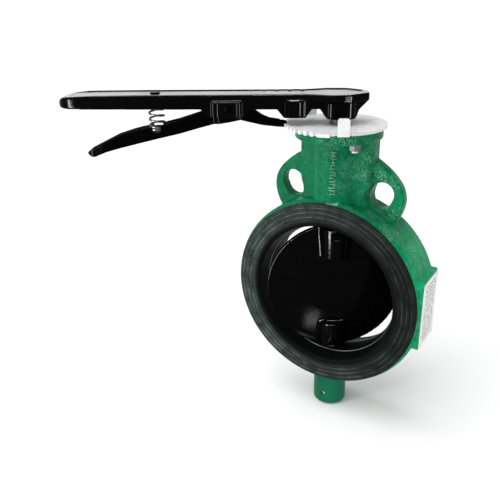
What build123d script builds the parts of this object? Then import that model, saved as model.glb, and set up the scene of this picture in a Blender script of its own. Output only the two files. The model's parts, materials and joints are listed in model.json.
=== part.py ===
from build123d import *
import math
import os

# Butterfly valve, wafer pattern, nominal size 150, with a latched hand lever.
# Frame: origin at the centre of the pipe bore, +Y along the pipe towards the rear flange,
# -Y out of the front face, +Z up the stem, +X to the right seen from the front. Millimetres.

# ---- driving dimensions: pipe side ----
DISC_R = 72.0                 # disc edge, a sphere of this radius
SEAT_R = 72.3                 # liner bore at its crown
SEAT_HALF_Y = 5.0             # half the width of the crown
LINER_BACK_R = 88.0           # liner core outside, body ring inside
LIP_R = 102.0                 # liner sealing lip outside
THROAT_R = 76.5               # liner bore just inside the mouth
MOUTH_R = 80.3                # liner mouth at the sealing face
FACE_Y = 29.0                 # half the width over the rubber faces
RING_Y = 26.0                 # half the width of the iron ring
RING_R = 104.8                # iron ring outside, at mid width
RING_EDGE_R = 101.6           # iron ring outside, at its faces
RING_SLOPE = 4.0              # width of the slope at each face
GROOVE_RADII = (85.0, 90.0, 95.0)
GROOVE_W = 1.6
GROOVE_DEEP = 0.8

# ---- driving dimensions: stem line ----
STEM_R = 9.0
RUN_GAP = 0.05                # radial running clearance of a shaft
BUSH_R = 13.0
SQUARE = 14.0                 # stem square across flats
SQUARE_Z = 182.0              # foot of the stem square
STEM_TOP = 203.0
GLAND_R = 14.0                # counterbore in the flange for the wiper and the circlip
GLAND_Z = 169.0
LOWER_BUSH_Z = -124.0
THRUST_Z = -136.0
NECK_R = 25.0                 # round column round the stem
WING_X = 39.5                 # half width of the flat wings beside it
WING_Y = (-10.0, 16.3)
FLANGE_R = 43.2
FLANGE_TOP = 175.5
FLANGE_T = 10.5
BOLT_CIRCLE_R = 35.0
BOLT_HOLE_R = 3.3
BOLT_ANGLES = (50.0, 230.0)
BOSS_R = 18.4                 # lower stem boss
BOSS_BOTTOM = -146.0
RETAINER_Z = -131.5           # grub screw that keeps the lower stem in
BUSH_NEAR_Z = 100.0           # end of each bush nearest the bore
O_RING_R = 1.4
UPPER_O_RING_Z = (152.0, 160.0)
LOWER_O_RING_Z = -105.0
CLIP_Z = (173.4, 174.8)       # circlip and its groove
CLIP_ROOT_R = 8.2
CLIP_R = 12.5

# ---- driving dimensions: locating lugs and name plate pad ----
SLOT_X = 48.4
SLOT_Z = 110.8
SLOT_R = 11.5
SLOT_STRETCH = 2.5            # half the distance between the slot's end centres
SPOT_R = 13.8                 # room for a washer in front of the lug
LUG_MID_Y = 4.0
LUG_T = 12.0
PAD_X = 105.0
PAD_Y = (-24.0, 21.0)
PAD_Z = (-37.0, 38.0)

# ---- driving dimensions: latch plate ----
PLATE_T = 3.0
PLATE_R = 46.6
TOOTH_R = 54.0
ROOT_R = 50.6
NOTCH_PITCH = 7.5             # degrees between notches
NOTCH_COUNT = 13              # closed to open, 90 degrees
NOTCH_HALF_W = 1.9
STOP_R = 49.5                 # outside of the bent-up stops
STOP_TOP = 192.0
STOP_FROM = 22.6              # stop edges, degrees past the lever's end position
STOP_TO = 35.4
PLATE_HOLE_R = 10.0
NUT_TOP = FLANGE_TOP - FLANGE_T - 1.2

# ---- driving dimensions: hand lever, in its own frame with +X along the lever ----
REST_OPEN = 30.0              # the lever stands four notches open
LEVER_DIR = 180.0 + REST_OPEN
LEVER_TOP = 208.1             # at the hub; the lever rises a little along its length
HUB_BOTTOM = 185.0
HUB_HALF_W = 20.5
SKIRT_Z = 194.6               # lower edge of the skirts, near the hub
BOX_BOTTOM = 187.6            # lower edge of the box round the pivot
LATCH_BOX_BOTTOM = 186.4
ROOF = 4.0
PIVOT_U = 106.7
PIVOT_Z = 195.8
PIN_R = 3.0
PIVOT_BOX_HALF_W = 19.0
LATCH_BOX_HALF_W = 16.8
PAD_PROUD = 0.6               # raised pads on the flanks of both boxes
SPRING_U = 179.0
SPRING_R = 8.2                # outside of the coil
SPRING_WIRE_R = 1.1
SPRING_TURNS = 5.0
CLAMP_Z = 192.5               # grub screw that clamps the lever on the stem square
CLAMP_R = 3.0
ROOF_AT_SPRING = LEVER_TOP - ROOF + 1.6
MARK_W = -10.8                # raised dots, distance from the lever's middle
RIVET_R = 3.0                 # spring guide rivet: shank, head and seat of the head
RIVET_HEAD_R = 4.6
RIVET_SEAT = LEVER_TOP - 0.6
GUIDE_R = 5.6                 # peg inside the coil
# plan of the lever from the hub to the tip, as (distance along it, half width)
LEVER_HEAD = [(-27, 7), (-25.5, 9.5), (-9, 21), (-2, 22.4), (12, 22.4)]
LEVER_ARM = [(27, 17.4), (33, 16.0), (106, 16.0), (200, 16.4), (238, 17.4), (254, 17.6)]
LEVER_TIP = [(261, 16.4), (267, 13.0), (270.8, 8.6), (272.6, 5.2), (273.5, 2)]

# ---- driving dimensions: trigger ----
TRIGGER_HALF_W = 8.2
NOSE_END = 51.3
NOSE_HALF_W = 1.5
POCKET_R = 9.0                # spring seat, open at both sides
POCKET_FLOOR = 173.0

# ---- driving dimensions: disc bosses, closed at their inner ends ----
DISC_BOSS_R = 17.0
DISC_BOSS_TIP_R = 15.0
UPPER_BOSS_END = 35.5
LOWER_BOSS_END = 41.5
BOSS_CAP = 5.0                # solid end of each boss in front of the stem
DISH_R = 10.5                 # shallow dish in each boss end
DISH_DEEP = 1.2
DISC_PIN_Z = 63.0
DISC_PIN_R = 3.5


def tube(r_out, r_in, z_low, z_high):
    height = z_high - z_low
    ring = Cylinder(r_out, height) - Cylinder(r_in, height)
    return Pos(0, 0, (z_low + z_high) / 2) * ring


def rod(radius, z_low, z_high):
    return Pos(0, 0, (z_low + z_high) / 2) * Cylinder(radius, z_high - z_low)


def block(x_low, x_high, y_low, y_high, z_low, z_high):
    centre = Pos((x_low + x_high) / 2, (y_low + y_high) / 2, (z_low + z_high) / 2)
    return centre * Box(x_high - x_low, y_high - y_low, z_high - z_low)


def prism(outline, y_low, y_high):
    """A solid with the outline (x, z) from y_low to y_high."""
    face = make_face(Polyline(*outline, close=True))
    upright = Plane(origin=(0, y_high, 0), x_dir=(1, 0, 0), z_dir=(0, -1, 0))
    return extrude(upright * face, y_high - y_low)


def turned_on_pipe(outline):
    """A ring about the pipe axis from an outline of (y, r)."""
    face = make_face(Polyline(*[(r, y) for y, r in outline], close=True))
    return revolve(face, Axis.Y)


def along_y(radius, y_low, y_high):
    return Pos(0, (y_low + y_high) / 2, 0) * Rot(90, 0, 0) * Cylinder(radius, y_high - y_low)


def on_lever(shape):
    """From the lever's own frame to the valve frame."""
    return Rot(0, 0, LEVER_DIR) * shape


def at_angle(shape, degrees):
    """Turns a shape drawn at the front (-Y) by so many degrees towards +X."""
    return Rot(0, 0, degrees) * shape


def both_sides(shape):
    return shape + mirror(shape, Plane.YZ)


# ---- valve body ----

def lug():
    """One locating lug on the +X side with its bolt slot."""
    outer = Spline((36, 148), (43, 144.2), (52, 138), (61, 130), (68, 120.5), (71.2, 109), (69.5, 96),
                   (64, 84))
    closing = Polyline((64, 84), (25, 86), (25, 148), (36, 148))
    face = make_face(outer + closing)
    upright = Plane(origin=(0, LUG_MID_Y + LUG_T / 2, 0), x_dir=(1, 0, 0), z_dir=(0, -1, 0))
    solid = extrude(upright * face, LUG_T)
    return fillet(solid.edges().filter_by(GeomType.BSPLINE), 2.5)


def slot_prism(radius, y_low, y_high):
    """Slot along the radius from the bore, from y_low to y_high."""
    radial = math.degrees(math.atan2(SLOT_X, SLOT_Z))
    face = SlotCenterToCenter(2 * SLOT_STRETCH, 2 * radius, rotation=90)
    solid = Rot(90, 0, 0) * extrude(face, y_high - y_low)
    return Pos(SLOT_X, y_high, SLOT_Z) * Rot(0, radial, 0) * solid


def lug_slot():
    lug_front = LUG_MID_Y - LUG_T / 2
    return slot_prism(SLOT_R, -40, 40) + slot_prism(SPOT_R, -40, lug_front)


def iron_ring():
    slope_y = RING_Y - RING_SLOPE
    return turned_on_pipe([(-RING_Y, LINER_BACK_R), (-RING_Y, RING_EDGE_R), (-slope_y, RING_R),
                           (slope_y, RING_R), (RING_Y, RING_EDGE_R), (RING_Y, LINER_BACK_R)])


def neck():
    """Round column with flat wings that join it to the ring and the lugs."""
    flange_bottom = FLANGE_TOP - FLANGE_T
    column = rod(NECK_R, 80, flange_bottom)
    wings = block(-WING_X, WING_X, *WING_Y, 80, flange_bottom)
    wings = fillet(wings.edges().filter_by(Axis.Z), 8)
    joined = column + wings
    valleys = joined.edges().filter_by(Axis.Z).filter_by(lambda edge: abs(edge.center().X) < NECK_R)
    return fillet(valleys, 7)


def valve_body():
    flange = rod(FLANGE_R, FLANGE_TOP - FLANGE_T, FLANGE_TOP)
    flange = fillet(flange.edges().group_by(Axis.Z)[0], 1.2)
    boss = rod(BOSS_R, BOSS_BOTTOM, -90)
    boss = fillet(boss.edges().group_by(Axis.Z)[0], 4)
    pad = block(80, PAD_X, *PAD_Y, *PAD_Z)
    pad = fillet(pad.edges().filter_by(Axis.X), 2)
    solid = iron_ring() + neck() + both_sides(lug()) + flange + boss + pad
    solid -= both_sides(lug_slot())
    solid -= along_y(LINER_BACK_R, -40, 40)
    solid -= rod(STEM_R + 0.5, 80, BUSH_NEAR_Z)
    solid -= rod(BUSH_R, BUSH_NEAR_Z, GLAND_Z)
    solid -= rod(GLAND_R, GLAND_Z, FLANGE_TOP + 1)
    solid -= rod(STEM_R + 0.5, -BUSH_NEAR_Z, -80)
    solid -= rod(BUSH_R, LOWER_BUSH_Z, -BUSH_NEAR_Z)
    solid -= rod(STEM_R + RUN_GAP, THRUST_Z - 2, LOWER_BUSH_Z)
    solid -= Pos(0, 0, RETAINER_Z) * along_y(2.5, -30, 0)
    for angle in BOLT_ANGLES:
        solid -= at_angle(Pos(0, -BOLT_CIRCLE_R, 0) * rod(BOLT_HOLE_R, 160, 180), angle)
    return solid


def seat_liner():
    y_in = RING_Y
    y_throat = FACE_Y - 4.5
    outline = [(-FACE_Y, MOUTH_R), (-FACE_Y, LIP_R), (-y_in, LIP_R), (-y_in, LINER_BACK_R),
               (y_in, LINER_BACK_R), (y_in, LIP_R), (FACE_Y, LIP_R), (FACE_Y, MOUTH_R),
               (y_throat, THROAT_R), (SEAT_HALF_Y, SEAT_R),
               (-SEAT_HALF_Y, SEAT_R), (-y_throat, THROAT_R)]
    solid = turned_on_pipe(outline)
    for radius in GROOVE_RADII:
        cutter = [(0, radius), (0, radius + GROOVE_W), (2 * GROOVE_DEEP, radius + GROOVE_W),
                  (2 * GROOVE_DEEP, radius)]
        groove = turned_on_pipe(cutter)
        solid -= Pos(0, -FACE_Y - GROOVE_DEEP, 0) * groove
        solid -= Pos(0, FACE_Y - GROOVE_DEEP, 0) * groove
    solid -= rod(STEM_R + RUN_GAP, -100, 100)
    return solid


# ---- bearings and seals ----

def o_ring(z):
    return Pos(0, 0, z) * Torus(STEM_R + RUN_GAP + O_RING_R, O_RING_R)


def o_ring_groove(z):
    half_w = O_RING_R + 0.1
    return tube(STEM_R + RUN_GAP + 2 * half_w - 0.1, STEM_R - 1, z - half_w, z + half_w)


def upper_bush():
    bush = tube(BUSH_R, STEM_R + RUN_GAP, BUSH_NEAR_Z, GLAND_Z)
    for z in UPPER_O_RING_Z:
        bush -= o_ring_groove(z)
    return bush


def lower_bush():
    return tube(BUSH_R, STEM_R + RUN_GAP, LOWER_BUSH_Z, -BUSH_NEAR_Z) - o_ring_groove(LOWER_O_RING_Z)


def wiper_seal():
    return tube(GLAND_R, STEM_R + RUN_GAP, GLAND_Z, CLIP_Z[0] - 0.3)


def thrust_washer():
    return rod(STEM_R - 0.5, THRUST_Z - 2, THRUST_Z - 0.2)


def retaining_screw():
    """Grub screw with a dog point that runs in the lower stem's groove."""
    thread = along_y(2.5, -15.5, -9.3)
    point = along_y(1.7, -10, -7.4)
    socket = Pos(0, -15.5, 0) * Rot(90, 0, 0) * extrude(RegularPolygon(1.3, 6), 2, both=True)
    return Pos(0, 0, RETAINER_Z) * (thread + point - socket)


# ---- latch plate and its fasteners ----

def toothed_sector():
    """Sector from behind the closed notch to past the open notch, with its notches."""
    start, end = -97.5, 15.0
    cutter_r = TOOTH_R + 20
    points = [(0, 0)]
    steps = 5
    for step in range(steps + 1):
        angle = math.radians(start + (end - start) * step / steps)
        points.append((cutter_r * math.sin(angle), -cutter_r * math.cos(angle)))
    wedge = extrude(make_face(Polyline(*points, close=True)), FLANGE_TOP + PLATE_T + 5)
    sector = rod(TOOTH_R, FLANGE_TOP, FLANGE_TOP + PLATE_T) & wedge
    for index in range(NOTCH_COUNT):
        notch = block(-NOTCH_HALF_W, NOTCH_HALF_W, -TOOTH_R - 5, -ROOT_R,
                      FLANGE_TOP - 1, FLANGE_TOP + PLATE_T + 1)
        sector -= at_angle(notch, -90 + NOTCH_PITCH * index)
    return sector


def stop(centre):
    """One bent-up stop that ends the lever's turn."""
    half = math.radians((STOP_TO - STOP_FROM) / 2)
    half_w = STOP_R * math.sin(half)
    inner = STOP_R - PLATE_T
    upright = block(-half_w, half_w, -STOP_R, -inner, FLANGE_TOP + 0.2, STOP_TOP)
    foot = block(-half_w, half_w, -STOP_R, -40, FLANGE_TOP, FLANGE_TOP + PLATE_T)
    tab = upright + foot
    tab = fillet(tab.edges().filter_by(Axis.Y).group_by(Axis.Z)[-1], 2.5)
    return at_angle(tab, centre)


def stop_relief(centre):
    """Relief notches at the foot of a stop, for the bend."""
    half_w = STOP_R * math.sin(math.radians((STOP_TO - STOP_FROM) / 2))
    cut = block(half_w, half_w + 2.2, -60, -43.5, FLANGE_TOP - 1, FLANGE_TOP + PLATE_T + 1)
    return at_angle(both_sides(cut), centre)


def notch_plate():
    open_stop = (STOP_FROM + STOP_TO) / 2
    closed_stop = -90 - open_stop
    plate = rod(PLATE_R, FLANGE_TOP, FLANGE_TOP + PLATE_T) + toothed_sector()
    for centre in (open_stop, closed_stop):
        plate -= stop_relief(centre)
        plate += stop(centre)
    plate -= rod(PLATE_HOLE_R, FLANGE_TOP - 1, FLANGE_TOP + PLATE_T + 1)
    for angle in BOLT_ANGLES:
        hole = rod(BOLT_HOLE_R, FLANGE_TOP - 1, FLANGE_TOP + PLATE_T + 1)
        sink = Pos(0, 0, FLANGE_TOP + PLATE_T - 1.2) * Cone(3.3, 6.1, 2.8)
        plate -= at_angle(Pos(0, -BOLT_CIRCLE_R, 0) * (hole + sink), angle)
    return plate


def plate_screw():
    """Countersunk M6 screw, head flush with the plate."""
    top = FLANGE_TOP + PLATE_T
    head = Pos(0, 0, top - 1.4) * Cone(3.0, 5.8, 2.8)
    shank = rod(3.0, NUT_TOP - 7, top - 2.7)
    socket = Pos(0, 0, top - 1.8) * extrude(RegularPolygon(2.2, 6), 4)
    return head + shank - socket


def two_screw_places(shape):
    placed = Pos(0, -BOLT_CIRCLE_R, 0) * shape
    return [at_angle(placed, angle) for angle in BOLT_ANGLES]


def plate_washer():
    return tube(6.0, 3.2, NUT_TOP, FLANGE_TOP - FLANGE_T)


def plate_nut():
    prism_hex = extrude(RegularPolygon(5.0, 6, major_radius=False), 5)
    nut = Pos(0, 0, NUT_TOP - 5) * prism_hex
    return nut - rod(3.0, NUT_TOP - 6, NUT_TOP + 1)


# ---- name plate ----

def name_plate():
    plate = block(PAD_X, PAD_X + 0.8, PAD_Y[0] + 1.5, PAD_Y[1] - 1.5, PAD_Z[0] + 1.5, PAD_Z[1] - 2.5)
    plate = fillet(plate.edges().filter_by(Axis.X), 2)
    for rivet in rivet_places():
        plate -= rivet * Rot(0, 90, 0) * Cylinder(1.2, 4)
    return plate


def rivet_places():
    inset = 4.5
    ys = (PAD_Y[0] + inset, PAD_Y[1] - inset)
    zs = (PAD_Z[0] + inset, PAD_Z[1] - inset)
    return [Pos(PAD_X, y, z) for y in ys for z in zs]


def name_plate_rivets():
    shank = Pos(0.4, 0, 0) * Rot(0, 90, 0) * Cylinder(1.15, 0.8)
    head = Pos(0.8, 0, 0) * Rot(0, 90, 0) * Pos(0, 0, 0.45) * Cone(2.0, 1.1, 0.9)
    return [place * (shank + head) for place in rivet_places()]


# ---- turning parts: stems and disc ----

def upper_stem():
    stem = rod(STEM_R, UPPER_BOSS_END + BOSS_CAP + 0.5, SQUARE_Z)
    square = block(-SQUARE / 2, SQUARE / 2, -SQUARE / 2, SQUARE / 2, SQUARE_Z, STEM_TOP)
    stem += square & rod(STEM_R, SQUARE_Z, STEM_TOP)
    stem -= circlip_groove()
    stem -= Pos(0, 0, DISC_PIN_Z) * along_y(DISC_PIN_R, -40, 40)
    return stem


def circlip_groove():
    return tube(STEM_R + 1, CLIP_ROOT_R, *CLIP_Z)


def stem_circlip():
    ring = tube(CLIP_R, CLIP_ROOT_R, *CLIP_Z)
    gap = block(-3, 3, 5, 20, CLIP_Z[0] - 1, CLIP_Z[1] + 1)
    return ring - gap


def lower_stem():
    stem = rod(STEM_R, THRUST_Z, -LOWER_BOSS_END - BOSS_CAP - 0.5)
    stem -= tube(STEM_R + 1, 7.0, RETAINER_Z - 2.5, RETAINER_Z + 2.5)
    stem -= Pos(0, 0, -DISC_PIN_Z) * along_y(DISC_PIN_R, -40, 40)
    return stem


def disc_web():
    """Web in the XZ plane, thick in the middle and thin at the edge."""
    half = [(0, 5.5), (30, 5.5), (62, 3.6), (66, 3.2), (DISC_R, 3.2)]
    outline = [(y, r) for r, y in half] + [(-y, r) for r, y in reversed(half)]
    return turned_on_pipe(outline)


def disc_boss(inner_end):
    """Boss above the bore centre, tapering to its closed inner end."""
    height = DISC_R - inner_end
    boss = Pos(0, 0, inner_end + height / 2) * Cone(DISC_BOSS_TIP_R, DISC_BOSS_R, height)
    boss = fillet(boss.edges().group_by(Axis.Z)[0], 1)
    return boss - rod(DISH_R, inner_end - 1, inner_end + DISH_DEEP)


def disc():
    solid = disc_web() + disc_boss(UPPER_BOSS_END) + mirror(disc_boss(LOWER_BOSS_END), Plane.XY)
    solid &= Sphere(DISC_R)
    solid -= rod(STEM_R, UPPER_BOSS_END + BOSS_CAP, DISC_R + 5)
    solid -= rod(STEM_R, -DISC_R - 5, -LOWER_BOSS_END - BOSS_CAP)
    for z in (-DISC_PIN_Z, DISC_PIN_Z):
        solid -= Pos(0, 0, z) * along_y(DISC_PIN_R, -40, 40)
    return solid


def disc_pin(z):
    pin = along_y(DISC_PIN_R, -DISC_BOSS_R - 0.3, DISC_BOSS_R + 0.3)
    return Pos(0, 0, z) * chamfer(pin.edges(), 0.6)


# ---- hand lever ----

def lever_side():
    """Lever seen from its side, as (u, z), without its channel."""
    top = [(-27, LEVER_TOP), (48, LEVER_TOP + 0.6), (106, LEVER_TOP + 1.0), (200, LEVER_TOP + 1.8),
           (238, LEVER_TOP + 1.8), (254, LEVER_TOP + 1.5), (265, LEVER_TOP + 0.4), (270.6, LEVER_TOP - 1.6),
           (273.5, LEVER_TOP - 5.6)]
    tip = [(273.5, SKIRT_Z + 4.5), (271.5, SKIRT_Z + 2.6)]
    skirt = [(240, SKIRT_Z + 2.6), (200, SKIRT_Z + 1.8), (134, SKIRT_Z + 0.9)]
    pivot_box = [(125, BOX_BOTTOM + 0.6), (123, BOX_BOTTOM), (95, BOX_BOTTOM), (93, BOX_BOTTOM + 0.6)]
    arch = [(86, SKIRT_Z + 0.2), (61, SKIRT_Z), (54.4, 186.4), (33.6, 186.2), (28, SKIRT_Z),
            (20.4, SKIRT_Z), (13.6, HUB_BOTTOM)]
    rear = [(-13.5, HUB_BOTTOM), (-14.6, 187.0), (-17.0, 193.0), (-22.0, 197.0), (-27, 201.2)]
    return top + tip + skirt + pivot_box + arch + rear


def mirrored_plan(side):
    """Closed plan outline (u, w) from its +w side."""
    other = [(u, -w) for u, w in reversed(side)]
    return side + other


def upright_prism(outline, z_low, z_high):
    face = make_face(Polyline(*outline, close=True))
    return Pos(0, 0, z_low) * extrude(face, z_high - z_low)


def lever_channel():
    """The hollow under the lever, open downwards."""
    roof_z = LEVER_TOP - ROOF
    side = prism([(58, roof_z + 0.6), (106, roof_z + 1.0), (200, roof_z + 1.8), (240, roof_z + 1.8),
                  (262, roof_z - 1.0), (268, roof_z - 4.0), (268, 180), (58, 180)], -30, 30)
    plan = mirrored_plan([(58, 13.0), (200, 13.1), (240, 13.9), (254, 14.0), (262, 10.5), (267, 5)])
    return side & upright_prism(plan, 180, 210)


def lever_marks():
    """Five plain raised dots in a row near the far edge of the lever's top."""
    dots = Part()
    for index in range(5):
        dots += Pos(36 + 12.5 * index, MARK_W, LEVER_TOP - 0.2) * Cylinder(1.8, 1.8)
    return dots


def side_box(u_low, u_high, half_w, z_low):
    """Thickened box across the lever with its upright corners rounded."""
    outer = block(u_low, u_high, -half_w, half_w, z_low, 203)
    return fillet(outer.edges().filter_by(Axis.Z), 2.5)


def pivot_box():
    outer = side_box(94.8, 123.2, PIVOT_BOX_HALF_W, BOX_BOTTOM)
    proud = PIVOT_BOX_HALF_W + PAD_PROUD
    pad = block(99.5, 117, -proud, proud, BOX_BOTTOM, 203)
    return outer + fillet(pad.edges().filter_by(Axis.Y), 1)


def latch_box():
    outer = side_box(33.6, 54.4, LATCH_BOX_HALF_W, LATCH_BOX_BOTTOM)
    proud = LATCH_BOX_HALF_W + PAD_PROUD
    pad = block(39.5, 50, -proud, proud, LATCH_BOX_BOTTOM, 202)
    return outer + fillet(pad.edges().filter_by(Axis.Y), 1)


def lever_recess():
    """Shallow panel in the lever's top, inside a raised rim."""
    side = prism([(-21, 214), (-21, LEVER_TOP - 0.8), (48, LEVER_TOP - 0.2), (106, LEVER_TOP + 0.2),
                  (200, LEVER_TOP + 1.0), (240, LEVER_TOP + 1.0), (260, LEVER_TOP + 0.4),
                  (264, 214)], -30, 30)
    inset = 3.0
    plan = [(-21, 6.5), (-8, 17.5), (12, 19)] + [(u, w - inset) for u, w in LEVER_ARM] + [(262, 10)]
    return side & upright_prism(mirrored_plan(plan), 190, 215)


def lever_handle():
    """Die-cast lever: roof with skirts, open below, hub over the stem square."""
    plan = mirrored_plan(LEVER_HEAD + LEVER_ARM + LEVER_TIP)
    solid = prism(lever_side(), -30, 30) & upright_prism(plan, 180, 214)
    waist = upright_prism(mirrored_plan([(-28, 6), (-14, 15), (-10, 17), (60, 17)]), 180, 201)
    beyond = block(60, 290, -30, 30, 180, 201)
    roof = block(-40, 290, -30, 30, 201, 214)
    solid &= waist + beyond + roof
    hub = block(-13.5, 13.6, -HUB_HALF_W, HUB_HALF_W, HUB_BOTTOM, 203)
    solid += fillet(hub.edges().filter_by(Axis.Z), 7)
    solid += pivot_box() + latch_box()
    solid -= lever_channel()
    solid -= block(-SQUARE / 2, SQUARE / 2, -SQUARE / 2, SQUARE / 2, 180, STEM_TOP)
    solid -= lever_recess()
    solid += lever_marks()
    solid -= Pos(PIVOT_U, 0, PIVOT_Z) * along_y(PIN_R, -40, 40)
    solid -= Pos(-20, 0, CLAMP_Z) * Rot(0, 90, 0) * Cylinder(CLAMP_R, 40)
    solid -= Pos(SPRING_U, 0, 200) * Cylinder(RIVET_R, 30)
    solid -= Pos(SPRING_U, 0, 0) * rod(RIVET_HEAD_R + 0.2, RIVET_SEAT, 220)
    return solid


def lever_clamp_screw():
    """Grub screw that clamps the lever on the stem square, driven from the rear."""
    body = Pos(-SQUARE / 2 - 4.5, 0, CLAMP_Z) * Rot(0, 90, 0) * Cylinder(CLAMP_R, 9)
    hexagon = Rot(0, 90, 0) * extrude(RegularPolygon(1.7, 6), 2.5, both=True)
    return body - Pos(-SQUARE / 2 - 9, 0, CLAMP_Z) * hexagon


def spring_guide_rivet():
    """Headed peg through the lever roof that guides the spring."""
    head = rod(RIVET_HEAD_R, RIVET_SEAT, LEVER_TOP + 2.2)
    head = fillet(head.edges().group_by(Axis.Z)[-1], 0.9)
    shank = rod(RIVET_R, ROOF_AT_SPRING - 1, RIVET_SEAT)
    peg = rod(GUIDE_R, 193, ROOF_AT_SPRING - 0.1)
    return Pos(SPRING_U, 0, 0) * (head + shank + chamfer(peg.edges().group_by(Axis.Z)[0], 1))


def trigger_pivot_pin():
    half = PIVOT_BOX_HALF_W + 1.3
    pin = along_y(PIN_R, -half, half)
    return Pos(PIVOT_U, 0, PIVOT_Z) * chamfer(pin.edges(), 0.5)


def trigger_spring():
    low = POCKET_FLOOR + SPRING_WIRE_R + 0.15
    high = ROOF_AT_SPRING - SPRING_WIRE_R - 0.15
    radius = SPRING_R - SPRING_WIRE_R
    height = high - low
    path = Helix(pitch=height / SPRING_TURNS, height=height, radius=radius)
    section = Plane(origin=path @ 0, z_dir=path % 0) * Circle(SPRING_WIRE_R)
    coil = sweep(section, path=path, is_frenet=True)
    return Pos(SPRING_U, 0, low) * coil


# ---- trigger ----

def trigger_grip():
    top = [(98, 203), (112, 203), (118, 199), (127, 193.2), (138, 189.4), (157, 183.6), (170, 180.5),
           (190, 176.8), (203, 173.8), (219, 168.8), (234, 161.6), (247, 155.4), (250.6, 152.6)]
    under = [(250.8, 150.6), (247, 148.2), (243.5, 148.0), (231, 153.0), (217, 156.8),
             (196, 161.8), (176, 166.4), (156, 170.8), (137, 176.0), (123, 179.6), (106, 182.2),
             (96, 184.2)]
    plan = mirrored_plan([(94, 12.4), (117, 12.4), (122.5, TRIGGER_HALF_W), (235, TRIGGER_HALF_W),
                          (246, 7.2), (250, 5.2), (251.5, 2.5)])
    grip = prism(top + under, -30, 30) & upright_prism(plan, 130, 212)
    return grip & lobe_limit()


def lobe_limit():
    """Rounds the trigger's head over its pivot."""
    beyond = block(118, 280, -30, 30, 130, 212)
    lobe = Pos(PIVOT_U, 0, PIVOT_Z) * along_y(6.6, -30, 30)
    below = block(90, 118, -30, 30, 130, PIVOT_Z)
    shoulder = prism([(PIVOT_U, PIVOT_Z), (PIVOT_U + 4, PIVOT_Z + 5), (118.5, 198.5), (118.5, PIVOT_Z)],
                     -30, 30)
    return beyond + lobe + below + shoulder


def latch_arm():
    arm = prism([(104, 200), (96, 198.5), (88, 195.5), (79.5, 190.0), (74.6, 186.6), (68.7, 184.0),
                 (58, 182.2), (57, 175.2), (74.6, 177.2), (90, 180.8), (100, 183.5)], -4, 4)
    blade = prism([(60, 182.0), (53, 181.6), (NOSE_END, 180.4), (NOSE_END, 174.2), (60, 175.2)],
                  -NOSE_HALF_W, NOSE_HALF_W)
    return arm + blade


def trigger_lever():
    """Finger lever with its spring pocket and the latch nose."""
    solid = trigger_grip() + latch_arm()
    solid -= Pos(SPRING_U, 0, 0) * rod(POCKET_R, POCKET_FLOOR, 210)
    solid -= Pos(PIVOT_U, 0, PIVOT_Z) * along_y(PIN_R + RUN_GAP, -40, 40)
    return solid


def write(name, shape):
    """One STEP file for one node, from a shape or a list of shapes."""
    shapes = shape if isinstance(shape, list) else [shape]
    solids = [solid for each in shapes for solid in each.solids()]
    export_step(Compound(children=solids), f"parts/{name}.step")


os.makedirs("parts", exist_ok=True)
write("valve_body", valve_body())
write("seat_liner", seat_liner())
write("upper_bush", upper_bush())
write("lower_bush", lower_bush())
write("upper_stem_o_rings", [o_ring(z) for z in UPPER_O_RING_Z])
write("lower_stem_o_ring", o_ring(LOWER_O_RING_Z))
write("wiper_seal", wiper_seal())
write("thrust_washer", thrust_washer())
write("stem_retaining_screw", retaining_screw())
write("notch_plate", notch_plate())
write("plate_screws", two_screw_places(plate_screw()))
write("plate_washers", two_screw_places(plate_washer()))
write("plate_nuts", two_screw_places(plate_nut()))
write("name_plate", name_plate())
write("name_plate_rivets", name_plate_rivets())
write("upper_stem", on_lever(upper_stem()))
write("lower_stem", on_lever(lower_stem()))
write("stem_circlip", on_lever(stem_circlip()))
write("disc", on_lever(disc()))
write("upper_disc_pin", on_lever(disc_pin(DISC_PIN_Z)))
write("lower_disc_pin", on_lever(disc_pin(-DISC_PIN_Z)))
write("lever_handle", on_lever(lever_handle()))
write("lever_clamp_screw", on_lever(lever_clamp_screw()))
write("spring_guide_rivet", on_lever(spring_guide_rivet()))
write("trigger_pivot_pin", on_lever(trigger_pivot_pin()))
write("trigger_spring", on_lever(trigger_spring()))
write("trigger_lever", on_lever(trigger_lever()))
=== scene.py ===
import json
import math
import random

import bmesh
import bpy
from mathutils import Matrix, Vector


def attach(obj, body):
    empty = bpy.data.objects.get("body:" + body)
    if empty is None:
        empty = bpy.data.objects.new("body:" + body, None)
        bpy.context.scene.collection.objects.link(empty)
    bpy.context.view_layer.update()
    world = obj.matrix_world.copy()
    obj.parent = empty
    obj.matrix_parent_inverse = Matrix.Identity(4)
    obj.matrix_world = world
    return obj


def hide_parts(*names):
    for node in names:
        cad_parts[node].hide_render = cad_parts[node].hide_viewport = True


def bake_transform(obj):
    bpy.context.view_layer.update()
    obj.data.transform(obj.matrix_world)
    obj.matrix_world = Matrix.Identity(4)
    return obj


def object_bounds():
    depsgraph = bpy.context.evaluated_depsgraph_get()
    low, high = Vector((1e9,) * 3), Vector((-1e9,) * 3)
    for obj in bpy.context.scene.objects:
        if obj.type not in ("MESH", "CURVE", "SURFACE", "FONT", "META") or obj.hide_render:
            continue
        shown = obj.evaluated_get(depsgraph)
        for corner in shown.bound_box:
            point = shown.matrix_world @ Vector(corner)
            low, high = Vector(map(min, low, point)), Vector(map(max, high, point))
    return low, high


# A wafer butterfly valve with a hand lever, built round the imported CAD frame.
# Metres. +Y runs along the pipe to the back, -Y out of the front face, +Z up the stem.

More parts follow.
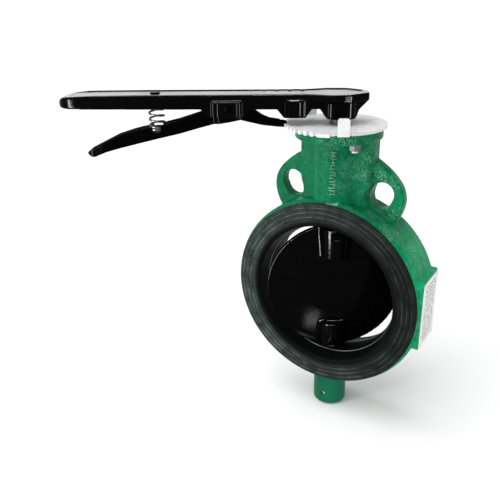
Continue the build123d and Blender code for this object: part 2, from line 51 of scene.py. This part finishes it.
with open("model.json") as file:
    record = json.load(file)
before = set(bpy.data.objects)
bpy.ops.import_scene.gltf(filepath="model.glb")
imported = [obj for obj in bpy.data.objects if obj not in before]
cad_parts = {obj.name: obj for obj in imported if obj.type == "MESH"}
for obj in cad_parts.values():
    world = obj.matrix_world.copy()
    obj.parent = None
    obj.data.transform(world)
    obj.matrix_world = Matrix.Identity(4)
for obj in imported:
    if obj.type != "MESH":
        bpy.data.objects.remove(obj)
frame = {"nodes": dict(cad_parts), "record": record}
CAD_BOX = [list(corner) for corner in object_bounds()]
NODES = frame["nodes"]
MM = 0.001

# ---- sizes that repeat the CAD model ----
REST_OPEN = 30.0
LEVER_DIR = math.radians(180.0 + REST_OPEN)
FACE_Y = 29.0
LIP_R = 102.0
RING_Y = 26.0
BACK_R = 88.0
MOUTH_R = 80.3
THROAT_R = 76.5
SEAT_R = 72.3
SEAT_HALF_Y = 5.0
MOUTH_ROUND = 4.2
LIP_ROUND = 1.1
GROOVES = (85.8, 90.8, 95.8)
GROOVE_OUTLINE = ((0.0, -1.25), (0.12, -0.95), (0.75, -0.55), (0.80, 0.0), (0.75, 0.55),
                  (0.12, 0.95), (0.0, 1.25))
STEM_R = 9.0
NECK_R = 25.0
LOW_BOSS_Z = -104.5
CROWN_EDGE_R = 73.9
MARK_ROWS = 7
MARK_PITCH = 6.4
MARKS_LOW_Z = 114.6
MARKS_MIDDLE_Z = 131.0
SPRING_U = 179.0
SPRING_TOP = 205.5
SPRING_LOW = 173.2
COIL_R = 7.1
WIRE_R = 1.1
DISC_BOSS_R = 16.0
UPPER_BOSS_END = 35.5
LOWER_BOSS_END = 41.5
LEVER_TIP_U = 249.0


# ---- small helpers for shader nodes ----

class Shader:
    """A material being made: adds nodes and joins them."""

    def __init__(self, name):
        self.material = bpy.data.materials.new(name)
        self.material.use_nodes = True
        self.nodes = self.material.node_tree.nodes
        self.links = self.material.node_tree.links
        self.surface = self.nodes["Principled BSDF"]
        self.place = self.nodes.new("ShaderNodeTexCoord").outputs["Object"]

    def set(self, **values):
        for name, value in values.items():
            self.surface.inputs[name.replace("_", " ")].default_value = value
        return self

    def join(self, output, socket_name):
        self.links.new(output, self.surface.inputs[socket_name])

    def stretched(self, scale):
        mapping = self.nodes.new("ShaderNodeMapping")
        mapping.inputs["Scale"].default_value = scale
        self.links.new(self.place, mapping.inputs["Vector"])
        return mapping.outputs["Vector"]

    def noise(self, size_mm, detail=3.0, rough=0.55, vector=None):
        """Noise whose features are about size_mm across."""
        node = self.nodes.new("ShaderNodeTexNoise")
        node.inputs["Scale"].default_value = 1.0 / (size_mm * MM)
        node.inputs["Detail"].default_value = detail
        node.inputs["Roughness"].default_value = rough
        self.links.new(vector or self.place, node.inputs["Vector"])
        return node.outputs["Fac"]

    def ramp(self, value, stops):
        """Colours or greys at positions along value."""
        node = self.nodes.new("ShaderNodeValToRGB")
        elements = node.color_ramp.elements
        while len(elements) < len(stops):
            elements.new(0.5)
        for element, (position, colour) in zip(elements, stops):
            element.position = position
            if not hasattr(colour, "__len__"):
                colour = (colour, colour, colour)
            element.color = (*colour, 1.0)
        self.links.new(value, node.inputs["Fac"])
        return node.outputs["Color"]

    def mix(self, factor, low, high, blend="MIX"):
        node = self.nodes.new("ShaderNodeMix")
        node.data_type = "RGBA"
        node.blend_type = blend
        factor_socket, low_socket, high_socket = node.inputs[0], node.inputs[6], node.inputs[7]
        for socket, value in ((factor_socket, factor), (low_socket, low), (high_socket, high)):
            if isinstance(value, bpy.types.NodeSocket):
                self.links.new(value, socket)
            elif hasattr(value, "__len__"):
                socket.default_value = (*value, 1.0)
            else:
                socket.default_value = value
        return node.outputs[2]

    def maths(self, operation, first, second=0.0):
        node = self.nodes.new("ShaderNodeMath")
        node.operation = operation
        for socket, value in zip(node.inputs, (first, second)):
            if isinstance(value, bpy.types.NodeSocket):
                self.links.new(value, socket)
            else:
                socket.default_value = value
        return node.outputs[0]

    def times(self, first, second):
        return self.maths("MULTIPLY", first, second)

    def hypotenuse(self, first, second):
        squares = self.maths("ADD", self.times(first, first), self.times(second, second))
        return self.maths("SQRT", squares)

    def near(self, value, middle_mm, reach_mm):
        """1 where value is within reach_mm of middle_mm, else 0."""
        offset = self.maths("ABSOLUTE", self.maths("SUBTRACT", value, middle_mm * MM))
        return self.maths("LESS_THAN", offset, reach_mm * MM)

    def bump(self, height, depth_mm, strength=1.0, after=None):
        node = self.nodes.new("ShaderNodeBump")
        node.inputs["Distance"].default_value = depth_mm * MM
        node.inputs["Strength"].default_value = strength
        self.links.new(height, node.inputs["Height"])
        if after is not None:
            self.links.new(after, node.inputs["Normal"])
        self.join(node.outputs["Normal"], "Normal")
        return node.outputs["Normal"]

    def split(self):
        node = self.nodes.new("ShaderNodeSeparateXYZ")
        self.links.new(self.place, node.inputs["Vector"])
        return node.outputs

    def upward(self):
        """0 to 1: how much the surface faces up."""
        normal = self.nodes.new("ShaderNodeNewGeometry").outputs["Normal"]
        node = self.nodes.new("ShaderNodeSeparateXYZ")
        self.links.new(normal, node.inputs["Vector"])
        return node.outputs["Z"]


# ---- materials ----

def green_paint():
    """Rough enamel on cast iron, with whitish specks where it is rubbed, laid mostly on the right
    and top as a painted highlight, colour painted lighter towards +x as painted light, and a lower
    boss painted darker as painted shade.
    """
    shader = Shader("green_casting_paint")
    mottle = shader.noise(5.0, 4.0, 0.65)
    colour = shader.ramp(mottle, [(0.32, (0.0001, 0.112, 0.043)), (0.50, (0.0002, 0.188, 0.073)),
                                  (0.74, (0.0005, 0.250, 0.100))])
    x, y, z = shader.split()
    # Whitish specks of dust, masked mostly to the right and upper side, where they also stand in as
    # a painted highlight
    to_the_right = shader.maths("ADD", shader.times(x, 9.0), shader.times(z, 3.0))
    painted_sheen_side = shader.ramp(to_the_right, [(0.25, 0.12), (0.75, 1.0)])
    # Painted light: the colour is darkened at and left of the neck and brightened on the ring's
    # right side, where light falls
    painted_side_light = shader.ramp(shader.times(x, 10.0), [(0.50, 0.74), (0.66, 0.88), (0.86, 1.5)])
    colour = shader.mix(1.0, colour, painted_side_light, "MULTIPLY")

    patches = shader.ramp(shader.noise(24, 3.0, 0.6), [(0.48, 0.04), (0.60, 1.0)])
    specks = shader.ramp(shader.noise(1.3, 2.0, 0.7), [(0.50, 0.0), (0.62, 1.0)])
    dust = shader.times(specks, shader.times(patches, painted_sheen_side))
    # Whitish on the raised marks: rubbed paint, and also a painted highlight on the relief
    from_stem = shader.hypotenuse(x, y)
    proud = shader.times(shader.maths("GREATER_THAN", from_stem, (NECK_R + 0.35) * MM),
                         shader.maths("LESS_THAN", from_stem, (NECK_R + 3.0) * MM))
    in_marks = shader.times(shader.near(x, 6, 6), shader.near(z, MARKS_MIDDLE_Z, 30))
    uneven = shader.ramp(mottle, [(0.4, 0.35), (0.6, 1.0)])
    marks_rubbed_and_sheen = shader.times(shader.times(proud, in_marks), uneven)
    # Dust specks and whitish marks, each partly a painted highlight, mixed into the paint
    rubbed = shader.maths("MAXIMUM", shader.times(dust, 0.55), shader.times(marks_rubbed_and_sheen, 0.75))
    colour = shader.mix(rubbed, colour, (0.22, 0.42, 0.32))

    # Painted shade: the lower boss is painted much darker, darkest on its left and lighter towards
    # +x, for the shade and light on it
    low_boss = shader.maths("LESS_THAN", z, LOW_BOSS_Z * MM)
    across_boss = shader.maths("ADD", shader.times(x, 25.0), 0.5)
    painted_boss_shade = shader.ramp(across_boss, [(0.10, (0.0002, 0.045, 0.018)),
                                            (0.80, (0.010, 0.150, 0.085))])
    shader.join(shader.mix(shader.times(low_boss, 0.8), colour, painted_boss_shade), "Base Color")
    roughness = shader.ramp(mottle, [(0.3, 0.26), (0.75, 0.44)])
    shader.join(shader.mix(low_boss, roughness, (0.2, 0.2, 0.2)), "Roughness")
    shader.set(Specular_IOR_Level=0.06)
    grain = shader.noise(0.9, 3.0, 0.6)
    lumps = shader.noise(4.2, 2.0, 0.5)
    first = shader.bump(lumps, 0.35, 0.6)
    shader.bump(grain, 0.16, 0.75, after=first)
    return shader.material


def liner_rubber():
    """Dusty moulded rubber, rubbed in streaks round the face and nearly black inside the bore,
    painted lighter on the left and darker on the right, with a painted highlight line at the crown
    edge.
    """
    shader = Shader("liner_rubber")
    x, _, z = shader.split()
    radius = shader.hypotenuse(x, z)
    rolled = shader.nodes.new("ShaderNodeCombineXYZ")
    shader.links.new(radius, rolled.inputs["X"])
    shader.links.new(shader.times(shader.maths("ARCTAN2", x, z), 5 * MM), rolled.inputs["Y"])
    streaks = shader.noise(1.0, 3.0, 0.65, rolled.outputs["Vector"])
    bloom = shader.noise(16, 4.0, 0.62)
    fine = shader.noise(0.8, 2.0, 0.6)
    colour = shader.ramp(bloom, [(0.30, (0.008, 0.011, 0.010)), (0.55, (0.017, 0.023, 0.021)),
                                 (0.78, (0.038, 0.048, 0.044))])
    streaked = shader.ramp(streaks, [(0.50, 0.0), (0.72, 0.34)])
    colour = shader.mix(streaked, colour, (0.085, 0.10, 0.096))
    colour = shader.mix(shader.ramp(fine, [(0.56, 0.0), (0.72, 0.22)]), colour, (0.13, 0.15, 0.14))
    for groove in GROOVES:
        near_edge = shader.near(radius, groove + 1.5, 0.45)
        worn = shader.times(near_edge, shader.ramp(bloom, [(0.40, 0.0), (0.60, 0.55)]))
        colour = shader.mix(worn, colour, (0.11, 0.13, 0.12))
    # Painted light and shade: the face is painted lighter on the left and darker on the right
    painted_side_shading = shader.ramp(shader.maths("ADD", shader.times(x, 5.0), 0.5),
                          [(0.10, 1.45), (0.45, 1.0), (0.92, 0.42)])
    colour = shader.mix(1.0, colour, painted_side_shading, "MULTIPLY")

    # Painted highlight: a thin light line round the crown edge in the otherwise nearly black bore
    painted_crown_highlight = shader.near(radius, CROWN_EDGE_R, 0.14)
    in_bore = shader.mix(painted_crown_highlight, (0.0014, 0.0020, 0.0018), (0.16, 0.18, 0.17))
    outside = shader.ramp(shader.times(radius, 10.0),
                          [(MOUTH_R / 100 + 0.005, 0.0), (MOUTH_R / 100 + 0.05, 1.0)])
    shader.join(shader.mix(outside, in_bore, colour), "Base Color")
    shader.join(shader.ramp(bloom, [(0.3, 0.46), (0.75, 0.68)]), "Roughness")
    shader.set(Specular_IOR_Level=0.045)
    shader.bump(fine, 0.06, 0.6)
    return shader.material


def black_gloss(name, roughness, peel_mm, peel_strength, specular, dull_top=False):
    """Glossy black with an orange-peel skin, dull where it faces up if dull_top is set."""
    shader = Shader(name)
    dust = shader.noise(1.4, 2.0, 0.6)
    wear = shader.noise(22, 3.0, 0.55)
    colour = shader.ramp(dust, [(0.60, 0.00002), (0.82, (0.0003, 0.0004, 0.0004))])
    shader.join(colour, "Base Color")
    worn = shader.ramp(wear, [(0.3, roughness), (0.75, roughness + 0.08)])
    if dull_top:
        on_top = shader.ramp(shader.upward(), [(0.78, 0.0), (0.93, 1.0)])
        worn = shader.mix(on_top, worn, (0.95, 0.95, 0.95))
    shader.join(worn, "Roughness")
    shader.set(Specular_IOR_Level=specular)
    shader.bump(shader.noise(peel_mm, 2.0, 0.5), 0.10, peel_strength)
    return shader.material


def zinc(name, base, roughness, metallic):
    shader = Shader(name)
    clouds = shader.noise(9, 4.0, 0.6)
    grain = shader.noise(0.7, 2.0, 0.6, shader.stretched((1.0, 0.12, 1.0)))
    dark = tuple(channel * 0.84 for channel in base)
    colour = shader.ramp(clouds, [(0.30, dark), (0.62, base)])
    colour = shader.mix(shader.ramp(grain, [(0.62, 0.0), (0.85, 0.35)]), colour, dark)
    shader.join(colour, "Base Color")
    shader.join(shader.ramp(clouds, [(0.3, roughness + 0.12), (0.7, roughness)]), "Roughness")
    shader.set(Metallic=metallic, Specular_IOR_Level=0.3)
    shader.bump(grain, 0.03, 0.5)
    return shader.material


def plain_rubber(name, colour):
    shader = Shader(name)
    lighter = tuple(2 * channel for channel in colour)
    shader.join(shader.ramp(shader.noise(2.0), [(0.3, colour), (0.8, lighter)]), "Base Color")
    shader.set(Roughness=0.6)
    shader.bump(shader.noise(0.5), 0.04, 0.5)
    return shader.material


def bearing_plastic():
    shader = Shader("bearing_plastic")
    colour = shader.ramp(shader.noise(6.0), [(0.3, (0.62, 0.60, 0.53)), (0.7, (0.74, 0.72, 0.66))])
    shader.join(colour, "Base Color")
    shader.set(Roughness=0.5)
    shader.bump(shader.noise(0.8), 0.03, 0.4)
    return shader.material


def printed_plate():
    """White enamelled plate with rows of plain grey dashes."""
    shader = Shader("printed_plate")
    _, y, z = shader.split()
    row = shader.maths("FRACT", shader.maths("DIVIDE", z, 4.6 * MM))
    in_row = shader.times(shader.maths("GREATER_THAN", row, 0.28),
                          shader.maths("LESS_THAN", row, 0.72))
    dash_noise = shader.noise(2.4, 1.0, 0.5, shader.stretched((0.0, 1.0, 0.45)))
    dashes = shader.times(shader.ramp(dash_noise, [(0.46, 0.0), (0.49, 1.0)]), in_row)
    within = shader.times(shader.near(y, -1.5, 16.0), shader.near(z, 0.0, 30.5))
    ink = shader.times(shader.times(dashes, within), 0.85)
    smudge = shader.ramp(shader.noise(3.0, 3.0), [(0.35, (0.72, 0.74, 0.73)),
                                                  (0.65, (0.90, 0.91, 0.91))])
    shader.join(shader.mix(ink, smudge, (0.05, 0.07, 0.06)), "Base Color")
    shader.set(Roughness=0.45, Specular_IOR_Level=0.25)
    shader.bump(shader.noise(0.9), 0.02, 0.4)
    return shader.material


MATERIALS = {
    "green_iron": green_paint(),
    "liner_rubber": liner_rubber(),
    "bearing_plastic": bearing_plastic(),
    "seal_rubber": plain_rubber("seal_rubber", (0.012, 0.012, 0.012)),
    "zinc_steel": zinc("zinc_plate", (0.76, 0.77, 0.765), roughness=0.42, metallic=0.12),
    "stem_steel": zinc("machined_steel", (0.14, 0.15, 0.15), roughness=0.34, metallic=0.7),
    "black_disc": black_gloss("black_disc_coating", roughness=0.09, peel_mm=2.0,
                              peel_strength=1.0, specular=0.016),
    "black_lever": black_gloss("black_lever_paint", roughness=0.15, peel_mm=2.0,
                               peel_strength=0.16, specular=0.022),
    "spring_wire": zinc("spring_wire", (0.06, 0.062, 0.064), roughness=0.22, metallic=0.7),
    "plate_print": printed_plate(),
}

for part in frame["record"]["subparts"]:
    for material_slot in NODES[part["node"]].material_slots:
        material_slot.material = MATERIALS[part["material_slot"]]


# ---- making pieces ----

def new_piece(name, mesh, body, slot_name, *replaced):
    """A visible piece that rides on body and takes the place of the replaced CAD nodes."""
    piece = bpy.data.objects.new(name, mesh)
    bpy.context.scene.collection.objects.link(piece)
    mesh.materials.clear()
    mesh.materials.append(MATERIALS[slot_name])
    for polygon in mesh.polygons:
        polygon.use_smooth = True
    if body is not None:
        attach(piece, body)
    if replaced:
        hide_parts(*replaced)
    return piece


def applied(mesh, *modifiers):
    """The mesh with modifiers applied, each as (kind, {setting: value})."""
    carrier = bpy.data.objects.new("carrier", mesh)
    bpy.context.scene.collection.objects.link(carrier)
    for kind, settings in modifiers:
        modifier = carrier.modifiers.new(kind, kind)
        for name, value in settings.items():
            setattr(modifier, name, value)
    evaluated = carrier.evaluated_get(bpy.context.evaluated_depsgraph_get())
    result = bpy.data.meshes.new_from_object(evaluated)
    bpy.data.objects.remove(carrier)
    return result


def cad_copy(node, turn=0.0):
    """A welded copy of a CAD node's mesh, turned about the stem."""
    work = bmesh.new()
    work.from_mesh(NODES[node].data)
    bmesh.ops.remove_doubles(work, verts=work.verts, dist=1e-6)
    bmesh.ops.transform(work, matrix=Matrix.Rotation(-turn, 4, "Z"), verts=work.verts)
    mesh = bpy.data.meshes.new(node + "_copy")
    work.to_mesh(mesh)
    work.free()
    return mesh


def turned_back(mesh, turn):
    mesh.transform(Matrix.Rotation(turn, 4, "Z"))
    return mesh


def softened(node, voxel_mm, rounds, turn=0.0):
    """A cast form of a CAD node: every edge rounded a little."""
    mesh = cad_copy(node, turn)
    mesh = applied(mesh, ("REMESH", {"mode": "VOXEL", "voxel_size": voxel_mm * MM}),
                   ("SMOOTH", {"factor": 0.5, "iterations": rounds}))
    mesh.name = node + "_cast"
    return mesh


def smooth_where(mesh, chosen, rounds):
    """Smooths only the vertices for which chosen(co) is true."""
    work = bmesh.new()
    work.from_mesh(mesh)
    picked = [vertex for vertex in work.verts if chosen(vertex.co)]
    for _ in range(rounds):
        bmesh.ops.smooth_vert(work, verts=picked, factor=0.5, use_axis_x=True, use_axis_y=True,
                              use_axis_z=True)
    work.to_mesh(mesh)
    work.free()
    return mesh


def add_block(work, size, matrix):
    """A closed block of the size (x, y, z)."""
    made = bmesh.ops.create_cube(work, size=1.0)
    bmesh.ops.scale(work, vec=size, verts=made["verts"])
    bmesh.ops.transform(work, matrix=matrix, verts=made["verts"])


# ---- valve body ----

def cast_marks():
    """A column of plain raised bars, each row different, on the front of the neck."""
    mark_random = random.Random(11)
    work = bmesh.new()
    turn = Matrix.Rotation(math.radians(14.0), 4, "Z")
    for index in range(MARK_ROWS):
        z = MARKS_LOW_Z + MARK_PITCH * index
        for step in (-1.9, 1.9):
            width = 4.2 + 3.2 * mark_random.random()
            offset = (mark_random.random() - 0.5) * 1.8
            place = Matrix.Translation(Vector((offset, -NECK_R - 0.1, z + step)) * MM)
            add_block(work, Vector((width, 2.0, 1.2)) * MM, turn @ place)
        offset = mark_random.choice((-2.2, 0.0, 2.2))
        place = Matrix.Translation(Vector((offset, -NECK_R - 0.1, z)) * MM)
        add_block(work, Vector((1.3, 2.0, 2.4)) * MM, turn @ place)
    bmesh.ops.bevel(work, geom=work.edges[:], offset=0.3 * MM, segments=2, affect="EDGES")
    mesh = bpy.data.meshes.new("cast_marks")
    work.to_mesh(mesh)
    work.free()
    return mesh


def neck_valley(co):
    """True where the wings run into the neck's round column."""
    beside_column = 12 * MM < abs(co.x) < 34 * MM and co.y < -5 * MM
    beside_wings = 113 * MM < co.z < 161 * MM
    return beside_column and beside_wings


body_mesh = softened("valve_body", voxel_mm=0.9, rounds=4)
body_mesh = smooth_where(body_mesh, neck_valley, rounds=40)
new_piece("cast_body", body_mesh, "valve", "green_iron", "valve_body")
new_piece("cast_marks", cast_marks(), "valve", "green_iron")


# ---- rubber seat liner ----

def arc(centre_y, centre_r, radius, start, end, steps):
    """Points (y, r) on an arc, angles in degrees from +y towards +r."""
    points = []
    for step in range(steps + 1):
        angle = math.radians(start + (end - start) * step / steps)
        points.append((centre_y + radius * math.cos(angle), centre_r + radius * math.sin(angle)))
    return points


def liner_half():
    """Half of the liner's outline, as (y, r) with y positive, from the crown over the face."""
    outline = [(0.0, SEAT_R), (2.5, SEAT_R), (SEAT_HALF_Y, SEAT_R + 0.05), (8, SEAT_R + 0.6),
               (12, SEAT_R + 1.55), (18, SEAT_R + 2.9), (24, THROAT_R - 0.2)]
    outline += arc(FACE_Y - MOUTH_ROUND, MOUTH_R + 0.4, MOUTH_ROUND, -78, 0, 8)
    for radius in GROOVES:
        outline += [(FACE_Y - depth, radius + across) for depth, across in GROOVE_OUTLINE]
    outline += arc(FACE_Y - LIP_ROUND, LIP_R - LIP_ROUND, LIP_ROUND, 0, 90, 5)
    outline += [(RING_Y + 0.3, LIP_R), (RING_Y, LIP_R - 0.3), (RING_Y, BACK_R), (0.0, BACK_R)]
    return outline


def turned_mesh(outline, count):
    """A closed ring about the pipe axis from a closed outline of (y, r) in millimetres."""
    vertices = []
    for step in range(count):
        angle = 2 * math.pi * step / count
        vertices += [(r * MM * math.cos(angle), y * MM, r * MM * math.sin(angle))
                     for y, r in outline]
    size = len(outline)
    faces = []
    for step in range(count):
        here, there = step * size, ((step + 1) % count) * size
        for index in range(size):
            after = (index + 1) % size
            faces.append((here + index, here + after, there + after, there + index))
    mesh = bpy.data.meshes.new("turned")
    mesh.from_pydata(vertices, [], faces)
    mesh.validate()
    return mesh


def with_stem_hole(mesh):
    """Cuts the stem's hole down through the ring."""
    work = bmesh.new()
    bmesh.ops.create_cone(work, cap_ends=True, segments=48, radius1=(STEM_R + 0.05) * MM,
                          radius2=(STEM_R + 0.05) * MM, depth=0.2)
    cutter_mesh = bpy.data.meshes.new("cutter")
    work.to_mesh(cutter_mesh)
    work.free()
    cutter = bpy.data.objects.new("cutter", cutter_mesh)
    bpy.context.scene.collection.objects.link(cutter)
    cut = {"operation": "DIFFERENCE", "solver": "EXACT", "object": cutter}
    result = applied(mesh, ("BOOLEAN", cut))
    bpy.data.objects.remove(cutter)
    return result


front_half = liner_half()
rear_half = [(-y, r) for y, r in reversed(front_half[1:-1])]
liner_mesh = with_stem_hole(turned_mesh(front_half + rear_half, 288))
liner_mesh.name = "liner"
new_piece("rubber_liner", liner_mesh, "valve", "liner_rubber", "seat_liner")


# ---- disc ----

def lever_tip(co):
    """True at the lever's far end, in the lever's frame."""
    return co.x > LEVER_TIP_U * MM


def near_boss_corner(co):
    """True where the bosses run into the web, in the lever's frame."""
    across, height = abs(co.y), abs(co.z)
    if height > 70 * MM or across > 11 * MM or across < 3.5 * MM:
        return False
    end = (UPPER_BOSS_END if co.z > 0 else LOWER_BOSS_END) * MM
    from_flank = abs(math.hypot(co.x, co.y) - DISC_BOSS_R * MM)
    flank = from_flank < 5.0 * MM and height > end - 4 * MM
    below_end = abs(co.x) < 17 * MM and abs(height - end) < 4.5 * MM
    return flank or below_end


disc_mesh = softened("disc", voxel_mm=0.8, rounds=4, turn=LEVER_DIR)
disc_mesh = turned_back(smooth_where(disc_mesh, near_boss_corner, rounds=26), LEVER_DIR)
disc = new_piece("coated_disc", disc_mesh, "drive", "black_disc", "disc")


# ---- lever and trigger ----

lever_mesh = softened("lever_handle", voxel_mm=0.62, rounds=5, turn=LEVER_DIR)
lever_mesh = turned_back(smooth_where(lever_mesh, lever_tip, rounds=30), LEVER_DIR)
lever = new_piece("cast_lever", lever_mesh, "drive", "black_lever", "lever_handle")
trigger_mesh = softened("trigger_lever", voxel_mm=0.62, rounds=6, turn=LEVER_DIR)
trigger_mesh = turned_back(trigger_mesh, LEVER_DIR)
trigger = new_piece("cast_trigger", trigger_mesh, "trigger", "black_lever", "trigger_lever")
trigger.data.materials[0] = black_gloss("black_trigger_paint", roughness=0.15, peel_mm=2.0,
                                        peel_strength=0.16, specular=0.012, dull_top=True)


# ---- spring ----

def spring_line():
    """Centre line of the spring from the top down: closed end turns, open turns between."""
    points = []
    steps_per_turn = 28
    end_turns, open_turns = 1.1, 4.2
    turns = 2 * end_turns + open_turns
    closed_rise = 2 * WIRE_R * 1.04
    length = SPRING_TOP - SPRING_LOW - 2 * WIRE_R
    open_rise = (length - 2 * end_turns * closed_rise) / open_turns
    for step in range(int(turns * steps_per_turn) + 1):
        turn = step / steps_per_turn
        closed_top = min(turn, end_turns)
        opened = min(max(turn - end_turns, 0.0), open_turns)
        closed_low = max(turn - end_turns - open_turns, 0.0)
        z = SPRING_TOP - WIRE_R - closed_rise * (closed_top + closed_low) - open_rise * opened
        angle = 2 * math.pi * turn
        along, across = COIL_R * math.cos(angle), COIL_R * math.sin(angle)
        points.append(Vector((SPRING_U + along, across, z)) * MM)
    return points


def wire_mesh(points, radius, sides=14):
    """A round wire along the points."""
    vertices, faces = [], []
    for index, point in enumerate(points):
        ahead = points[min(index + 1, len(points) - 1)] - points[max(index - 1, 0)]
        across = ahead.cross(Vector((0, 0, 1))).normalized()
        up = across.cross(ahead).normalized()
        for side in range(sides):
            angle = 2 * math.pi * side / sides
            vertices.append(point + radius * (across * math.cos(angle) + up * math.sin(angle)))
    for index in range(len(points) - 1):
        for side in range(sides):
            after = (side + 1) % sides
            here, there = index * sides, (index + 1) * sides
            faces.append((here + side, here + after, there + after, there + side))
    faces.append(tuple(range(sides))[::-1])
    faces.append(tuple(range(len(vertices) - sides, len(vertices))))
    mesh = bpy.data.meshes.new("wire")
    mesh.from_pydata(vertices, [], faces)
    return mesh


spring_mesh = turned_back(wire_mesh(spring_line(), WIRE_R * MM), LEVER_DIR)
spring = new_piece("coil_spring", spring_mesh, None, "spring_wire", "trigger_spring")
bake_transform(spring)


# ---- small hardware with rounded edges ----

SMALL_PARTS = (("plate_nuts", 0.28, "valve", "stem_steel"),
               ("trigger_pivot_pin", 0.30, "drive", "black_lever"),
               ("spring_guide_rivet", 0.30, "drive", "black_lever"))

for node, voxel_mm, body_name, slot_name in SMALL_PARTS:
    new_piece("rounded_" + node, softened(node, voxel_mm, rounds=2), body_name, slot_name, node)


# ---- stage, light and camera ----

def make_floor():
    work = bmesh.new()
    bmesh.ops.create_grid(work, x_segments=8, y_segments=8, size=30.0)
    mesh = bpy.data.meshes.new("floor")
    work.to_mesh(mesh)
    work.free()
    floor = bpy.data.objects.new("floor", mesh)
    bpy.context.scene.collection.objects.link(floor)
    floor.location.z = CAD_BOX[0][2] - 0.0005
    shader = Shader("pale_floor")
    colour = shader.ramp(shader.noise(300), [(0.3, (0.88, 0.88, 0.885)), (0.7, (0.92, 0.92, 0.92))])
    shader.join(colour, "Base Color")
    shader.set(Roughness=0.9, Specular_IOR_Level=0.1)
    mesh.materials.append(shader.material)


def area_light(name, place, target, size, power, only=None):
    """A rectangle of light at place; only lists the pieces that it lights, if not all."""
    light = bpy.data.lights.new(name, "AREA")
    light.shape = "RECTANGLE"
    light.size, light.size_y = size
    light.energy = power
    holder = bpy.data.objects.new(name, light)
    bpy.context.scene.collection.objects.link(holder)
    holder.location = place
    holder.rotation_euler = (Vector(target) - Vector(place)).to_track_quat("-Z", "Y").to_euler()
    if only is not None:
        lit = bpy.data.collections.new(name + "_lights")
        for piece in only:
            lit.objects.link(piece)
        holder.light_linking.receiver_collection = lit


def sun_light(name, towards, strength, wide):
    """Even light from one side, soft as from a large window, wide in degrees."""
    light = bpy.data.lights.new(name, "SUN")
    light.energy = strength
    light.angle = math.radians(wide)
    holder = bpy.data.objects.new(name, light)
    bpy.context.scene.collection.objects.link(holder)
    holder.rotation_euler = Vector(towards).to_track_quat("-Z", "Y").to_euler()


WORLD_STRENGTH = 1.24


def make_world():
    """A white tent: bright round the horizon, dimmer overhead and behind the camera."""
    world = bpy.data.worlds.new("studio")
    bpy.context.scene.world = world
    world.use_nodes = True
    nodes, links = world.node_tree.nodes, world.node_tree.links
    direction = nodes.new("ShaderNodeTexCoord").outputs["Generated"]

    def grey_ramp(value, stops):
        ramp = nodes.new("ShaderNodeValToRGB")
        while len(ramp.color_ramp.elements) < len(stops):
            ramp.color_ramp.elements.new(0.5)
        for element, (position, grey) in zip(ramp.color_ramp.elements, stops):
            element.position = position
            element.color = (grey, grey, grey, 1.0)
        links.new(value, ramp.inputs["Fac"])
        return ramp.outputs["Color"]

    split = nodes.new("ShaderNodeSeparateXYZ")
    links.new(direction, split.inputs["Vector"])
    by_height = grey_ramp(split.outputs["Z"],
                          ((0.0, 1.0), (0.28, 0.92), (0.45, 0.30), (1.0, 0.42)))
    towards_back = nodes.new("ShaderNodeVectorMath")
    towards_back.operation = "DOT_PRODUCT"
    towards_back.inputs[1].default_value = (-0.54, 0.84, 0.0)
    links.new(direction, towards_back.inputs[0])
    by_side = grey_ramp(towards_back.outputs["Value"], ((0.0, 0.78), (0.35, 1.0)))
    both = nodes.new("ShaderNodeMix")
    both.data_type = "RGBA"
    both.blend_type = "MULTIPLY"
    both.inputs[0].default_value = 1.0
    links.new(by_height, both.inputs[6])
    links.new(by_side, both.inputs[7])
    background = nodes["Background"]
    links.new(both.outputs[2], background.inputs["Color"])
    background.inputs["Strength"].default_value = WORLD_STRENGTH


CAMERA_PLACE = Vector((0.24826, -0.55840, 0.30978))
CAMERA_LOOK = Vector((-0.49124, 0.77257, -0.40227)).normalized()
CAMERA_ROLL = math.radians(-1.27)
CAMERA_SENSOR = 36.0
CAMERA_LENS = 44.64


def make_camera():
    camera_data = bpy.data.cameras.new("camera")
    camera_data.sensor_width = CAMERA_SENSOR
    camera_data.lens = CAMERA_LENS
    camera = bpy.data.objects.new("camera", camera_data)
    bpy.context.scene.collection.objects.link(camera)
    level = CAMERA_LOOK.cross(Vector((0, 0, 1))).normalized()
    upright = level.cross(CAMERA_LOOK)
    right = level * math.cos(CAMERA_ROLL) + upright * math.sin(CAMERA_ROLL)
    up = right.cross(CAMERA_LOOK)
    turn = Matrix((right, up, -CAMERA_LOOK)).transposed().to_4x4()
    camera.matrix_world = Matrix.Translation(CAMERA_PLACE) @ turn
    bpy.context.scene.camera = camera


make_floor()
make_world()
sun_light("overhead", (0.30, 0.40, -1.0), 2.7, 75)
arm_pieces = [lever, trigger, spring]
# name, place, target, (width, height), watts and the pieces that it lights, or None for all
for setup in (
        ("side_key", (-0.50, -0.75, 0.10), (0, 0, 0), (0.12, 0.45), 3.2, None),
        ("disc_strip", (-0.085, -0.33, 0.02), (0, 0, -0.02), (0.08, 0.30), 42.0, [disc]),
        ("lever_strip", (-0.30, -0.53, 0.10), (-0.12, -0.06, 0.19), (0.04, 0.26), 14.0, arm_pieces),
        ("lever_back", (-1.3, 1.7, 0.62), (-0.1, 0, 0.2), (1.9, 0.6), 8.0, [lever]),
        ("disc_glow", (0.031, -0.096, -0.108), (-0.021, -0.017, -0.052), (0.018, 0.018), 0.055,
         [disc]),
        ("disc_rim", (0.30, -0.62, 0.46), (0, 0, -0.04), (0.55, 0.16), 120.0, [disc]),
        ("lever_edge", (0.11, -0.39, 0.85), (-0.15, -0.09, 0.17), (0.7, 0.12), 150.0,
         [lever, trigger]),
        ("lever_right", (0.50, -0.25, 0.0), (-0.04, -0.02, 0.19), (0.05, 0.30), 20.0,
         [lever, trigger])):
    area_light(*setup)
make_camera()
bpy.context.scene.view_settings.view_transform = "Standard"
